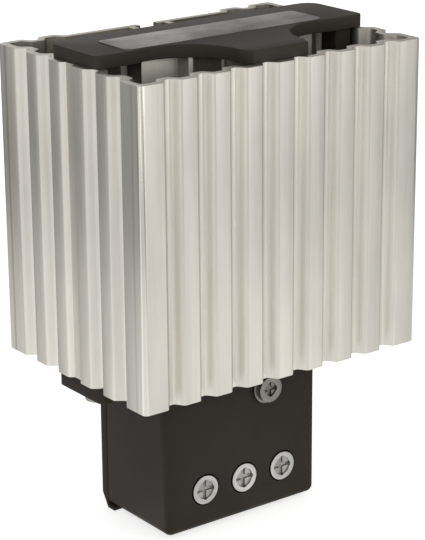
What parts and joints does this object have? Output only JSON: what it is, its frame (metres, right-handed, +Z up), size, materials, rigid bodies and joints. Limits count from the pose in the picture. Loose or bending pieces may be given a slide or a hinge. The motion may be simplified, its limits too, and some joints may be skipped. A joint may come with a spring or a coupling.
{
  "type": "enclosure air heater",
  "caption": "Rail-mounted convection air heater: fluted aluminium extrusion on a black screw-terminal housing, with a scooped black end cap.",
  "frame": {"origin": "under the middle of the extrusion, level with the foot of the rail clip", "axes": "+Z up along the extrusion, from the terminals to the cap; +Y to the rail, so the terminal screws face -Y; +X to the right seen from the terminals"},
  "size_m": [0.07, 0.05, 0.1053],
  "materials": {
    "sink_aluminium": "extruded, satin",
    "black_plastic": "moulded, matte",
    "strip_foil": "blank satin foil",
    "stone_ceramic": "fired, matte",
    "frame_plastic": "moulded, matte",
    "electrode_metal": "rolled, satin",
    "amber_film": "thin film, glossy",
    "spreader_aluminium": "rolled, satin",
    "spring_steel": "spring strip",
    "brass": "machined",
    "plated_steel": "zinc plated",
    "tinned_strap": "tinned",
    "brown_insulation": "smooth",
    "blue_insulation": "smooth"
  },
  "bodies": {
    "root": {"heat_sink": "sink_aluminium", "top_cap": "black_plastic", "cap_strip": "strip_foil", "heating_stone_1": "stone_ceramic", "heating_stone_2": "stone_ceramic", "heating_stone_3": "stone_ceramic", "stone_frame": "frame_plastic", "electrode_live": "electrode_metal", "electrode_neutral": "electrode_metal", "insulating_sleeve": "amber_film", "heat_spreader": "spreader_aluminium", "corrugated_spring": "spring_steel", "terminal_housing": "black_plastic", "terminal_retainer": "black_plastic", "rail_clip": "black_plastic", "cage_live": "brass", "cage_neutral": "brass", "cage_earth": "brass", "terminal_screw_live": "plated_steel", "terminal_screw_neutral": "plated_steel", "terminal_screw_earth": "plated_steel", "pressure_plate_live": "plated_steel", "pressure_plate_neutral": "plated_steel", "pressure_plate_earth": "plated_steel", "earth_strap": "tinned_strap", "earth_screw": "plated_steel", "earth_washer": "plated_steel", "earth_nut": "plated_steel", "fixing_screw_left": "plated_steel", "fixing_screw_right": "plated_steel", "crimp_live": "tinned_strap", "crimp_neutral": "tinned_strap", "lead_live": "brown_insulation", "lead_neutral": "blue_insulation"}
  },
  "joints": []
}
